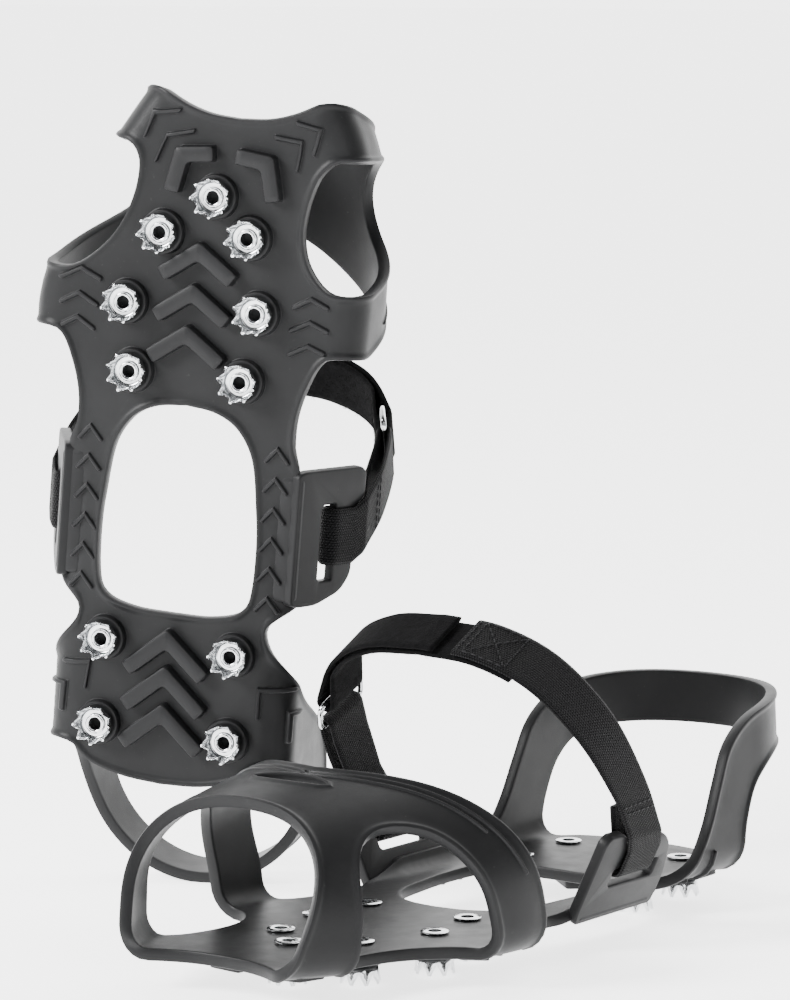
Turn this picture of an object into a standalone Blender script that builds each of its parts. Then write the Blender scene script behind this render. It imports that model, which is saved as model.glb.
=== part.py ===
"""A pair of pull-on ice cleats: rubber overshoes with riveted steel crowns and an instep strap.

Each cleat is modelled in its foot's own frame in millimetres: +X to the outer side of the foot,
+Y to the toe, +Z up, z = 0 where the shoe's sole rests. The finished meshes are in metres.
The left cleat stands on its crowns, and the right one stands toe-up on its heel band.
"""

import math

import bmesh
import bpy
from mathutils import Matrix, Vector

MM = 0.001
GAP = 0.3

# The shoe that the cleat is stretched over
SOLE_CORNER = 7.0
HEEL_HALF_WIDTH = 41.5
BALL_HALF_WIDTH = 57.0
BALL_Y = 205.0
TOE_REACH = 105.0
TOE_POINT = 1.7                 # 2 would be a blunter toe
HEEL_CENTRE_Y = 40.0
CREST_Z = 58.0
TOE_SHIFT = 12.0
TOE_SHIFT_Y = 200.0
TOE_SHIFT_RUN = 85.0

# Rubber moulding
SHEET = 3.5
SOLE_SPAN = 60.0
WALL_SPAN = 100.0
GRID_CELLS = (17, 30)
BOSS_R = 7.8
BOSS_H = 3.0
BAR_WIDTH = 5.5
BAR_H = 4.5
CORNER_BARS_X = -8.8
BACK_SEAM_Y = HEEL_CENTRE_Y - HEEL_HALF_WIDTH * math.pi / 2

# Steel crowns and eyelet rivets
CROWN_T = 0.9
CROWN_R = 5.2
TOOTH_R = 7.3
TOOTH_H = 6.0
TEETH = 8
EYELET_BORE_R = 2.3
EYELET_R = 2.8
EYELET_LIP_R = 3.9
STUDS = [(-6, 249.5), (12.5, 235.5), (-19.3, 236.5), (24, 210), (-24, 211), (20.3, 186.3), (-20.3, 187),
         (24, 91), (-24, 91), (24, 60.5), (-24, 60.5)]
CROWN_Z = -(SHEET + BOSS_H + GAP)
GROUND_Z = CROWN_Z - CROWN_T - TOOTH_H

# Side brackets and the strap
BRACKET_Y = 134.0
BRACKET_FOOT = (42.0, -3.0)
BRACKET_LEAN = math.radians(25)
BRACKET_T = 4.0
SLOT_LOW = 12.0
SLOT_HIGH = 19.0
SLOT_RUN = (-15.5, 11.5)
STRAP_WIDTH = 20.0
STRAP_T = 1.6
TAPE_T = 1.4
STRAP_TILT = math.radians(27)
STRAP_LEAN = 45.0
STRAP_TOP_Z = 94.0
WIRE_R = 1.0
RING_HALF = 12.5
RING_NEAR_S = -72.0
RING_FAR_S = -62.0
RING_OFFSET = -2.1
FOLD_R = WIRE_R + 1.0 + TAPE_T / 2

# Where the two cleats stand, in metres
LEFT_PLACE = (0.0596, 0.1408, 0.0)
RIGHT_PLACE = (-0.0604, -0.0382, 0.0026)
RIGHT_FACING = math.radians(19)
RIGHT_LEAN = math.radians(5.5)

RUBBER = ((0.035, 0.036, 0.038), 0.55, 0.0)
STEEL = ((0.78, 0.79, 0.80), 0.2, 1.0)
WEBBING = ((0.008, 0.008, 0.009), 0.85, 0.0)
FUZZ = ((0.006, 0.006, 0.007), 0.95, 0.0)


# ---------------------------------------------------------------- helpers

def smooth(points, steps=2):
    """Catmull-Rom points through an open list of points."""
    pts = [Vector(p) for p in points]
    out = []
    for i in range(len(pts) - 1):
        p1, p2 = pts[i], pts[i + 1]
        p0 = pts[i - 1] if i else p1 * 2 - p2
        p3 = pts[i + 2] if i + 2 < len(pts) else p2 * 2 - p1
        for k in range(steps):
            t = k / steps
            out.append(((p1 * 2) + (p2 - p0) * t + (p0 * 2 - p1 * 5 + p2 * 4 - p3) * t * t
                        + (p1 * 3 - p0 - p2 * 3 + p3) * t ** 3) * 0.5)
    out.append(pts[-1])
    return [tuple(p) for p in out]


def smoothstep(t):
    t = min(1.0, max(0.0, t))
    return t * t * (3 - 2 * t)


def ribbon_outline(points, width):
    """The closed outline of a band of a given width along an open line."""
    pts = [Vector(p) for p in points]
    left, right = [], []
    for i, p in enumerate(pts):
        before = (p - pts[i - 1]).normalized() if i else None
        after = (pts[i + 1] - p).normalized() if i + 1 < len(pts) else None
        run = ((before or after) + (after or before)).normalized()
        side = Vector((-run.y, run.x))
        stretch = 1 / max(0.5, run.dot(after or before))
        left.append(tuple(p + side * width / 2 * stretch))
        right.append(tuple(p - side * width / 2 * stretch))
    return left + right[::-1]


def bake(obj):
    """Replace an object, modifiers and curves included, by its welded plain mesh."""
    graph = bpy.context.evaluated_depsgraph_get()
    mesh = bpy.data.meshes.new_from_object(obj.evaluated_get(graph))
    bm = bmesh.new()
    bm.from_mesh(mesh)
    bmesh.ops.transform(bm, matrix=obj.matrix_world, verts=bm.verts)
    bmesh.ops.remove_doubles(bm, verts=bm.verts, dist=1e-3)
    bmesh.ops.recalc_face_normals(bm, faces=bm.faces)
    bm.to_mesh(mesh)
    bm.free()
    baked = bpy.data.objects.new(obj.name + "_mesh", mesh)
    bpy.context.scene.collection.objects.link(baked)
    bpy.data.objects.remove(obj)
    return baked


def prism(outlines, depth):
    """Flat outlines, the inner ones as holes, extruded by half the depth each way from z = 0."""
    curve = bpy.data.curves.new("outline", "CURVE")
    curve.dimensions = "2D"
    curve.fill_mode = "BOTH"
    curve.extrude = depth / 2
    for outline in outlines:
        spline = curve.splines.new("POLY")
        spline.points.add(len(outline) - 1)
        for point, (x, y) in zip(spline.points, outline):
            point.co = (x, y, 0, 1)
        spline.use_cyclic_u = True
    obj = bpy.data.objects.new("prism", curve)
    bpy.context.scene.collection.objects.link(obj)
    bpy.context.view_layer.update()
    return bake(obj)


def combine(obj, other, operation):
    """Boolean other into obj, and remove other."""
    modifier = obj.modifiers.new("cut", "BOOLEAN")
    modifier.operation = operation
    modifier.object = other
    modifier.solver = "EXACT"
    modifier.use_self = True
    bpy.context.view_layer.update()
    result = bake(obj)
    bpy.data.objects.remove(other)
    return result


def turned(profile, steps):
    """A profile of (radius, z) points turned about Z."""
    mesh = bpy.data.meshes.new("profile")
    mesh.from_pydata([(r, 0, z) for r, z in profile], [(i, i + 1) for i in range(len(profile) - 1)], [])
    obj = bpy.data.objects.new("turned", mesh)
    bpy.context.scene.collection.objects.link(obj)
    screw = obj.modifiers.new("screw", "SCREW")
    screw.steps = steps
    screw.render_steps = steps
    screw.use_merge_vertices = True
    screw.merge_threshold = 1e-4
    bpy.context.view_layer.update()
    return bake(obj)


def join(objects):
    """One mesh object of several that don't touch."""
    bm = bmesh.new()
    for obj in objects:
        bm.from_mesh(obj.data)
        bpy.data.objects.remove(obj)
    mesh = bpy.data.meshes.new("joined")
    bm.to_mesh(mesh)
    bm.free()
    obj = bpy.data.objects.new("joined", mesh)
    bpy.context.scene.collection.objects.link(obj)
    return obj


# ---------------------------------------------------------------- the shoe's surface

def half_width(y):
    """Half the sole's width, from the straight heel to the rounded toe."""
    if y >= BALL_Y:
        return BALL_HALF_WIDTH * max(0.0, 1 - ((y - BALL_Y) / TOE_REACH) ** TOE_POINT) ** 0.6
    return HEEL_HALF_WIDTH + (BALL_HALF_WIDTH - HEEL_HALF_WIDTH) * smoothstep((y - 140) / 65)


def wall_section(y):
    """The shoe's section above the sole's edge: (x, z) points up the wall and over the vamp."""
    w = half_width(y)
    corner = [(w - SOLE_CORNER * (1 - math.sin(k * math.pi / 8)), SOLE_CORNER * (1 - math.cos(k * math.pi / 8)))
              for k in range(5)]
    if y < 150:
        return corner + [(w - 4.0, SOLE_CORNER + WALL_SPAN - SOLE_CORNER * math.pi / 2)]
    crest = CREST_Z - 0.19 * (y - BALL_Y)
    shoulder = 0.3 * crest
    dome = [(w * math.cos(k * math.pi / 20) ** 0.85, shoulder + (crest - shoulder) * math.sin(k * math.pi / 20) ** 0.9)
            for k in range(11)]
    return corner + dome


def along(points, fraction):
    """The point a fraction of the way along a line of points."""
    lengths = [math.dist(a, b) for a, b in zip(points, points[1:])]
    reach = fraction * sum(lengths)
    for (a, b), length in zip(zip(points, points[1:]), lengths):
        if reach <= length:
            t = reach / length
            return a[0] + (b[0] - a[0]) * t, a[1] + (b[1] - a[1]) * t
        reach -= length
    return points[-1]


def shoe_surface(u, v):
    """The point of the shoe under pattern point (u, v). u runs from the sole's centre line to its
    edge at SOLE_SPAN, then up the wall. v runs along the foot, and round the back of the heel."""
    y = max(v, HEEL_CENTRE_Y)
    if u <= SOLE_SPAN:
        x, z = u / SOLE_SPAN * (half_width(y) - SOLE_CORNER), 0.0
    else:
        x, z = along(wall_section(y), min(1.0, (u - SOLE_SPAN) / WALL_SPAN))
    if v >= HEEL_CENTRE_Y:
        return Vector((x, y, z))
    turn = (HEEL_CENTRE_Y - v) / HEEL_HALF_WIDTH
    return Vector((x * math.cos(turn), HEEL_CENTRE_Y - x * math.sin(turn), z))


def wrap(u, v, height):
    """Pattern point (u, v) laid on the shoe and raised outwards from it."""
    step = 0.5
    du = shoe_surface(u + step, v) - shoe_surface(u - step, v)
    dv = shoe_surface(u, v + step) - shoe_surface(u, v - step)
    if u > SOLE_SPAN + WALL_SPAN - step:
        du = Vector((-1, 0, 0))
    normal = dv.cross(du)
    normal.normalize()
    if u < SOLE_SPAN - step:
        normal = Vector((0, 0, -1))
    point = shoe_surface(u, v) + normal * height
    return point


def shift_to_big_toe(point):
    """A shoe's toe lies towards the inner side of the foot, so the front of the moulding leans that
    way."""
    x, y, z = point
    return Vector((x - TOE_SHIFT * smoothstep((y - TOE_SHIFT_Y) / TOE_SHIFT_RUN), y, z))


# ---------------------------------------------------------------- the rubber moulding

def sole_point(x, y):
    """A point of the sole, in pattern coordinates."""
    return x * SOLE_SPAN / (half_width(y) - SOLE_CORNER), y


def pattern_outlines():
    """Half of the moulding's flat pattern, and the opening between its front and middle arms."""
    edge = SOLE_SPAN
    crest = SOLE_SPAN + WALL_SPAN
    front = smooth([sole_point(0, 276.8), sole_point(10, 277.6), sole_point(18, 279.8), (edge - 4, 282.6),
                    (edge + 5, 284), (75, 282), (95, 277), (115, 271.5), (135, 268), (crest, 267)])
    slot = [(crest, 248.5), (crest - 8, 248), (crest - 16, 246), (crest - 8, 243.8), (crest, 243.2)]
    rear = smooth([(crest, 235), (148, 233), (135, 228), (115, 217.5), (95, 206.5), (75, 199), (edge, 197.5),
                   sole_point(43.5, 188), sole_point(40, 175), sole_point(40, 160)])
    rail = [sole_point(40, 140), sole_point(40, 118)]
    heel_front = smooth([sole_point(40, 112), (edge, 100), (68, 85), (79, 75), (94, 67), (106, 60), (114, 48),
                         (118, 32), (120, 8), (120, BACK_SEAM_Y)])
    heel_rear = smooth([(101, BACK_SEAM_Y), (101, 8), (99, 28), (91, 42), (79, 49), (68, 51.5), (edge, 51.5),
                        sole_point(27, 45.5), sole_point(14, 42), sole_point(0, 41)])
    window = smooth([sole_point(0, 102.5), sole_point(14, 103), sole_point(25, 106.5), sole_point(28.5, 115),
                     sole_point(28.5, 138), sole_point(26, 157), sole_point(20, 169), sole_point(11, 174.5),
                     sole_point(0, 176)])
    opening = smooth([(edge + 3, 264.8), (80, 264), (100, 262.5), (111, 257), (114, 248), (108, 237),
                      (94, 228), (78, 222), (edge, 220), sole_point(38.5, 227.5), sole_point(33, 238),
                      sole_point(31.5, 249), sole_point(32.5, 258), (edge - 2, 263), (edge + 3, 264.8)])[:-1]
    return [front + slot + rear + rail + heel_front + heel_rear + window, opening]


def harness_shell():
    """The stretched rubber sheet: sole plate, arms, top band and heel band."""
    bpy.ops.mesh.primitive_grid_add(x_subdivisions=GRID_CELLS[0], y_subdivisions=GRID_CELLS[1], size=1)
    slab = bpy.context.object
    low, high = (-5.0, BACK_SEAM_Y - 5), (SOLE_SPAN + WALL_SPAN + 5, 292.0)
    for vertex in slab.data.vertices:
        vertex.co.x = low[0] + (vertex.co.x + 0.5) * (high[0] - low[0])
        vertex.co.y = low[1] + (vertex.co.y + 0.5) * (high[1] - low[1])
    thick = slab.modifiers.new("thick", "SOLIDIFY")
    thick.thickness = SHEET
    thick.offset = 1
    slab = combine(bake(slab), prism(pattern_outlines(), 6 * SHEET), "INTERSECT")
    bm = bmesh.new()
    bm.from_mesh(slab.data)
    bmesh.ops.triangulate(bm, faces=bm.faces)
    seams = [f for f in bm.faces if all(abs(v.co.x) < 0.01 for v in f.verts)
             or all(abs(v.co.x - SOLE_SPAN - WALL_SPAN) < 0.01 for v in f.verts)
             or all(abs(v.co.y - BACK_SEAM_Y) < 0.01 for v in f.verts)]
    bmesh.ops.delete(bm, geom=seams, context="FACES")
    for vertex in bm.verts:
        u, v, height = vertex.co
        point = wrap(u, v, height)
        if min(abs(u), abs(u - SOLE_SPAN - WALL_SPAN), abs(v - BACK_SEAM_Y)) < 0.01:
            point.x = 0.0
        vertex.co = point
    mirrored = bm.copy()
    bmesh.ops.transform(mirrored, matrix=Matrix.Diagonal((-1, 1, 1, 1)), verts=mirrored.verts)
    bmesh.ops.reverse_faces(mirrored, faces=mirrored.faces)
    half = bpy.data.meshes.new("half")
    mirrored.to_mesh(half)
    bm.from_mesh(half)
    bmesh.ops.remove_doubles(bm, verts=bm.verts, dist=0.02)
    for vertex in bm.verts:
        vertex.co = shift_to_big_toe(vertex.co)
    bmesh.ops.recalc_face_normals(bm, faces=bm.faces)
    bm.to_mesh(slab.data)
    bm.free()
    mirrored.free()
    return slab


def bar(points):
    """A tread bar under the plate, sunk 1 mm into it."""
    obj = prism([ribbon_outline(points, BAR_WIDTH)], BAR_H + 1)
    obj.data.transform(Matrix.Translation((0, 0, -(SHEET - 1 + (BAR_H + 1) / 2))))
    return obj


def tread():
    """The bosses under the studs, the six chevron bars and the two corner bars."""
    pieces = []
    for x, y in STUDS:
        boss = turned([(0, -SHEET + 1), (BOSS_R, -SHEET + 1), (BOSS_R, -SHEET - BOSS_H + 0.8),
                       (BOSS_R - 0.8, -SHEET - BOSS_H), (0, -SHEET - BOSS_H)], 14)
        boss.data.transform(Matrix.Translation((x, y, 0)))
        pieces.append(boss)
    for x, y in ((-1.8, 230.5), (-0.6, 216), (0.6, 201.5)):
        pieces.append(bar([(x - 11.3, y - 8), (x, y), (x + 11.3, y - 8)]))
    for y in (94, 81, 67.5):
        pieces.append(bar([(-12.7, y - 11), (0, y), (12.7, y - 11)]))
    for side in (-1, 1):
        line = [(18 * side, 252), (15.5 * side, 263), (6.2 * side, 264)]
        pieces.append(bar([(x + CORNER_BARS_X, y) for x, y in line]))
    return join(pieces)


def bracket_point(up, out):
    """A point of the bracket's section: up along its panel, and out from its middle plane."""
    x, z = BRACKET_FOOT
    s, c = math.sin(BRACKET_LEAN), math.cos(BRACKET_LEAN)
    return x + up * s + out * c, z + up * c - out * s


def bracket():
    """The slotted ear that stands up from the outer edge of the waist, on the +X side."""
    outline = [(-23, -1), (23, -1), (24, 3), (24, 31), (22, 33.5), (13, 33.5), (10, 29), (-14, 29), (-20, 24),
               (-24, 12), (-24, 3)]
    heel, toe = SLOT_RUN
    slot = [(heel, SLOT_LOW + 2), (heel + 2, SLOT_LOW), (toe - 2, SLOT_LOW), (toe, SLOT_LOW + 2),
            (toe, SLOT_HIGH - 0.5), (toe - 0.5, SLOT_HIGH), (heel + 0.5, SLOT_HIGH), (heel, SLOT_HIGH - 0.5)]
    panel = prism([outline, slot], BRACKET_T)
    for vertex in panel.data.vertices:
        run, up, out = vertex.co
        x, z = bracket_point(up, out)
        vertex.co = (x, BRACKET_Y + run, z)
    return panel


def cube(low, high):
    """A box between two corners."""
    bm = bmesh.new()
    bmesh.ops.create_cube(bm, size=1)
    for vertex in bm.verts:
        vertex.co = Vector([lo + (c + 0.5) * (hi - lo) for lo, hi, c in zip(low, high, vertex.co)])
    mesh = bpy.data.meshes.new("box")
    bm.to_mesh(mesh)
    bm.free()
    obj = bpy.data.objects.new("box", mesh)
    bpy.context.scene.collection.objects.link(obj)
    return obj


def mirror_across(obj):
    """A copy of an object mirrored in x."""
    mesh = obj.data.copy()
    mesh.transform(Matrix.Diagonal((-1, 1, 1, 1)))
    mesh.flip_normals()
    other = bpy.data.objects.new(obj.name, mesh)
    bpy.context.scene.collection.objects.link(other)
    return other


def harness():
    """The whole rubber moulding, with its stud holes."""
    body = combine(harness_shell(), tread(), "UNION")
    root = cube((36, BRACKET_Y - 22, -SHEET + 0.15), (44.5, BRACKET_Y + 22, -0.15))
    ear = combine(bracket(), root, "UNION")
    body = combine(body, join([mirror_across(ear), ear]), "UNION")
    holes = []
    for x, y in STUDS:
        hole = turned([(0, 2), (EYELET_R + GAP, 2), (EYELET_R + GAP, CROWN_Z - 2), (0, CROWN_Z - 2)], 10)
        hole.data.transform(Matrix.Translation((x, y, 0)))
        holes.append(hole)
    body = combine(body, join(holes), "DIFFERENCE")
    bm = bmesh.new()
    bm.from_mesh(body.data)
    bmesh.ops.dissolve_limit(bm, angle_limit=math.radians(0.5), verts=bm.verts, edges=bm.edges)
    bmesh.ops.triangulate(bm, faces=bm.faces)
    bm.to_mesh(body.data)
    bm.free()
    return body


# ---------------------------------------------------------------- crowns and rivets

def crown():
    """A pressed steel star: a washer with its teeth bent down and outwards."""
    rows = []
    for z_shift in (0.0, -CROWN_T):
        bore = []
        rim = []
        tips = []
        for k in range(2 * TEETH):
            a = math.pi * k / TEETH
            bore.append((math.cos(a) * (EYELET_R + GAP), math.sin(a) * (EYELET_R + GAP), z_shift))
            rim.append((math.cos(a) * CROWN_R, math.sin(a) * CROWN_R, z_shift))
            if k % 2 == 0:
                inset = 0.0 if z_shift == 0.0 else 0.9
                tips.append((math.cos(a) * (TOOTH_R - inset), math.sin(a) * (TOOTH_R - inset), -CROWN_T - TOOTH_H))
        rows.append((bore, rim, tips))
    bm = bmesh.new()
    loops = [[[bm.verts.new(p) for p in ring] for ring in row] for row in rows]
    (bore_a, rim_a, tip_a), (bore_b, rim_b, tip_b) = loops
    count = 2 * TEETH
    for k in range(count):
        n = (k + 1) % count
        bm.faces.new((bore_a[k], bore_a[n], rim_a[n], rim_a[k]))
        bm.faces.new((bore_b[k], bore_b[n], rim_b[n], rim_b[k]))
        bm.faces.new((bore_a[k], bore_a[n], bore_b[n], bore_b[k]))
    for k in range(TEETH):
        before, middle, after = (2 * k - 1) % count, 2 * k, (2 * k + 1) % count
        bm.faces.new((rim_a[before], rim_a[middle], tip_a[k]))
        bm.faces.new((rim_a[middle], rim_a[after], tip_a[k]))
        bm.faces.new((rim_b[before], rim_b[middle], tip_b[k]))
        bm.faces.new((rim_b[middle], rim_b[after], tip_b[k]))
        bm.faces.new((rim_a[before], tip_a[k], tip_b[k], rim_b[before]))
        bm.faces.new((rim_a[after], tip_a[k], tip_b[k], rim_b[after]))
    bmesh.ops.recalc_face_normals(bm, faces=bm.faces)
    mesh = bpy.data.meshes.new("crown")
    bm.to_mesh(mesh)
    bm.free()
    obj = bpy.data.objects.new("crown", mesh)
    bpy.context.scene.collection.objects.link(obj)
    return obj


def rivet():
    """A hollow eyelet: a flat flange inside the sole and a rolled lip over the crown."""
    lip = CROWN_Z - CROWN_T - GAP
    return turned([(EYELET_BORE_R, GAP + 0.6), (EYELET_LIP_R + 0.8, GAP + 0.6), (EYELET_LIP_R + 0.8, GAP),
                   (EYELET_R, GAP), (EYELET_R, lip), (EYELET_LIP_R, lip), (EYELET_LIP_R - 0.3, lip - 0.9),
                   (EYELET_BORE_R + 0.3, lip - 0.9), (EYELET_BORE_R, lip), (EYELET_BORE_R, GAP + 0.6)], 12)


# ---------------------------------------------------------------- the strap

LOOP = smooth([bracket_point(33, 3.1), (59.0, 43), (54.0, 65), (41.0, 83), (22.0, 92), (0.0, STRAP_TOP_Z)], 8)


def loop_point(s, offset):
    """A point of the strap's loop: s along it from its crest, positive to the outer side of the foot,
    and offset outwards from it."""
    line = LOOP[::-1]
    reach = abs(s)
    for a, b in zip(line, line[1:]):
        length = math.dist(a, b)
        if reach <= length or b == line[-1]:
            t = reach / length
            x = a[0] + (b[0] - a[0]) * t + (a[1] - b[1]) / length * offset
            z = a[1] + (b[1] - a[1]) * t + (b[0] - a[0]) / length * offset
            return (x if s >= 0 else -x), z
        reach -= length
    return None


LOOP_LENGTH = sum(math.dist(a, b) for a, b in zip(LOOP, LOOP[1:]))


def lay_strap(x, across, z):
    """Lean the strap towards the toe as it rises, and tilt it with the instep."""
    rise = max(0.0, z - 20) / (STRAP_TOP_Z - 20)
    tilt = STRAP_TILT * smoothstep((z - 26) / 45)
    return (x, BRACKET_Y + STRAP_LEAN * rise + across * math.cos(tilt), z - across * math.sin(tilt))


def strap_piece(outlines):
    """A flat-woven band, drawn as its edge outline and laid on the instep."""
    obj = prism(outlines, STRAP_WIDTH)
    for vertex in obj.data.vertices:
        x, z, across = vertex.co
        vertex.co = lay_strap(x, across, z)
    obj.data.flip_normals()
    return obj


def bracket_turn(side):
    """The webbing's turn round the top bar of the bracket, from outside to inside."""
    turn = [bracket_point(SLOT_HIGH + 6, 3.1), bracket_point(SLOT_HIGH, 3.1)]
    for k in range(1, 4):
        a = math.pi * k / 4
        turn.append(bracket_point(SLOT_HIGH - 3.1 * math.sin(a), 3.1 * math.cos(a)))
    turn += [bracket_point(SLOT_HIGH, -3.1), bracket_point(SLOT_HIGH + 8, -3.1), bracket_point(31, -3.1)]
    return [(side * x, z) for x, z in turn]


def steps_between(a, b, count):
    return [a + (b - a) * k / count for k in range(count + 1)]


def strap_webbing():
    """The outer side's webbing: sewn end near the crest, down the flank and through the bracket."""
    path = [loop_point(s, 0) for s in steps_between(14, LOOP_LENGTH, 9)] + bracket_turn(1)
    path += [loop_point(LOOP_LENGTH - 12, -3.2)]
    return strap_piece([ribbon_outline(path, STRAP_T)])


def ring_tab():
    """A closed loop of webbing through the inner side's bracket and the ring's near bar."""
    near, radius = RING_NEAR_S, WIRE_R + GAP + STRAP_T / 2
    bow = []
    for k in range(7):
        a = math.pi * k / 6
        bow.append(loop_point(near + radius * math.sin(a), RING_OFFSET - radius * math.cos(a)))
    outer = [loop_point(s, 0) for s in steps_between(near - 3, -LOOP_LENGTH, 4)]
    inner = [loop_point(-LOOP_LENGTH + 10, -4.6), loop_point(near - 8, -4.4)]
    path = outer + bracket_turn(-1) + inner + bow
    half = STRAP_T / 2
    edges = ribbon_outline(path + [path[0]], 2 * half)
    count = len(edges) // 2
    return strap_piece([edges[:count - 1], edges[count:-1][::-1]])


def loop_tape():
    """The fuzzy tape from under the webbing's sewn end to its fold round the ring's far bar."""
    path = [loop_point(s, -2.2) for s in steps_between(36, RING_FAR_S + 14, 10)]
    for k in range(7):
        a = math.pi * k / 6
        path.append(loop_point(RING_FAR_S - FOLD_R * math.sin(a), RING_OFFSET - FOLD_R * math.cos(a)))
    return strap_piece([ribbon_outline(path, TAPE_T)])


def hook_tail():
    """The tape's free end, from the fold back over the tape, which it grips."""
    path = [loop_point(RING_FAR_S + 1, RING_OFFSET + FOLD_R)]
    path += [loop_point(s, 0) for s in steps_between(RING_FAR_S + 10, 6, 8)]
    return strap_piece([ribbon_outline(path, TAPE_T)])


def ring():
    """The rectangular wire ring between the tab and the tape."""
    curve = bpy.data.curves.new("ring", "CURVE")
    curve.dimensions = "3D"
    curve.bevel_depth = WIRE_R
    curve.bevel_resolution = 1
    corners = []
    cut = 2.0
    near = loop_point(RING_NEAR_S, RING_OFFSET)
    far = loop_point(RING_FAR_S, RING_OFFSET)
    for t, across in ((0, -RING_HALF + cut), (0, RING_HALF - cut), (0.2, RING_HALF), (0.8, RING_HALF),
                      (1, RING_HALF - cut), (1, -RING_HALF + cut), (0.8, -RING_HALF), (0.2, -RING_HALF)):
        x = near[0] + (far[0] - near[0]) * t
        z = near[1] + (far[1] - near[1]) * t
        corners.append(lay_strap(x, across, z))
    spline = curve.splines.new("POLY")
    spline.points.add(len(corners) - 1)
    for point, corner in zip(spline.points, corners):
        point.co = (*corner, 1)
    spline.use_cyclic_u = True
    obj = bpy.data.objects.new("ring", curve)
    bpy.context.scene.collection.objects.link(obj)
    bpy.context.view_layer.update()
    return bake(obj)


# ---------------------------------------------------------------- the pair

def material(name, look):
    colour, roughness, metallic = look
    result = bpy.data.materials.new(name)
    result.use_nodes = True
    shader = result.node_tree.nodes["Principled BSDF"]
    shader.inputs["Base Color"].default_value = (*colour, 1)
    shader.inputs["Roughness"].default_value = roughness
    shader.inputs["Metallic"].default_value = metallic
    return result


def place(mesh, name, side, holder, collection, surface, pivot=(0, 0, 0)):
    """A node from a shared mesh, on its cleat's empty. side is -1 for the left foot."""
    mesh = mesh.copy()
    mesh.transform(Matrix.Translation(-Vector(pivot)))
    mesh.transform(Matrix.Diagonal((side * MM, MM, MM, 1)))
    if side < 0:
        mesh.flip_normals()
    mesh.materials.clear()
    mesh.materials.append(surface)
    obj = bpy.data.objects.new(name, mesh)
    collection.objects.link(obj)
    obj.parent = holder
    obj.location = (side * pivot[0] * MM, pivot[1] * MM, pivot[2] * MM)
    mesh.shade_smooth()
    mesh.set_sharp_from_angle(angle=math.radians(35))
    return obj


def foot_frame(name, collection):
    holder = bpy.data.objects.new(name, None)
    collection.objects.link(holder)
    return holder


def main():
    for obj in list(bpy.data.objects):
        bpy.data.objects.remove(obj)
    pair = bpy.data.collections.new("ice_cleats")
    bpy.context.scene.collection.children.link(pair)
    rubber = material("rubber", RUBBER)
    steel = material("steel", STEEL)
    webbing = material("webbing", WEBBING)
    fuzz = material("fuzz", FUZZ)

    left = foot_frame("left_foot", pair)
    left.location = Vector(LEFT_PLACE) - Vector((0, 0, GROUND_Z * MM))
    left.rotation_euler = (0, 0, math.pi)
    right = foot_frame("right_foot", pair)
    outer = Vector((-math.cos(RIGHT_FACING), -math.sin(RIGHT_FACING), 0))
    up = Vector((-math.sin(RIGHT_FACING), math.cos(RIGHT_FACING), 0))
    stand = Matrix((outer, Vector((0, 0, 1)), up)).transposed().to_4x4()
    right.matrix_world = Matrix.Translation(RIGHT_PLACE) @ Matrix.Rotation(RIGHT_LEAN, 4, "Y") @ stand

    near = loop_point(RING_NEAR_S, RING_OFFSET)
    fold = loop_point(RING_FAR_S + 1, RING_OFFSET + FOLD_R)
    parts = [("harness", harness(), rubber, (0, 0, 0)),
             ("strap_webbing", strap_webbing(), webbing, (0, 0, 0)),
             ("loop_tape", loop_tape(), fuzz, (0, 0, 0)),
             ("ring_tab", ring_tab(), webbing, (0, 0, 0)),
             ("ring", ring(), steel, lay_strap(near[0], 0, near[1])),
             ("hook_tail", hook_tail(), fuzz, lay_strap(fold[0], 0, fold[1]))]
    star = crown()
    eyelet = rivet()
    for foot, holder, side in (("left", left, -1), ("right", right, 1)):
        for name, source, surface, pivot in parts:
            place(source.data, f"{foot}_{name}", side, holder, pair, surface, pivot)
        for number, (x, y) in enumerate(STUDS, 1):
            for name, source in (("crown", star), ("rivet", eyelet)):
                stud = place(source.data, f"{foot}_{name}_{number:02d}", side, holder, pair, steel)
                stud.location = (side * x * MM, y * MM, (CROWN_Z if name == "crown" else 0) * MM)
    for source in [part[1] for part in parts] + [star, eyelet]:
        bpy.data.objects.remove(source)
    bpy.context.view_layer.update()


main()
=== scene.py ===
"""The looks of a pair of pull-on ice cleats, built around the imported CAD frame.

Everything is modelled in one foot's own frame in millimetres (+X to the outer side of the foot,
+Y to the toe, +Z up, z = 0 under the boot's sole) and laid out for both feet, the left one mirrored.
"""
import functools
import math
import random

import bmesh
import bpy
import numpy as np
from mathutils import Matrix, Vector
from mathutils.geometry import delaunay_2d_cdt


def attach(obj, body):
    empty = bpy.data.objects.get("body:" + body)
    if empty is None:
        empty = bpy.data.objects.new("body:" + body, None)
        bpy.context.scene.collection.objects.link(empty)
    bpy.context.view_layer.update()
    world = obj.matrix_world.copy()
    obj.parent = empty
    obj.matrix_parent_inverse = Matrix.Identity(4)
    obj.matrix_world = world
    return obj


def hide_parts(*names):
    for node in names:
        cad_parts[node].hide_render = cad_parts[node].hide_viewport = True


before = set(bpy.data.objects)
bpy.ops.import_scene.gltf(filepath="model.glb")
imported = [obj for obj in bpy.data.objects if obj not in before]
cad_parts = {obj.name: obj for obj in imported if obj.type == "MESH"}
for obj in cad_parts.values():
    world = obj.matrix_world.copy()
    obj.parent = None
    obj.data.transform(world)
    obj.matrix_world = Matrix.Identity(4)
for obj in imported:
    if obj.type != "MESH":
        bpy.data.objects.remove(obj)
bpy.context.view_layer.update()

MM = 0.001

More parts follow.
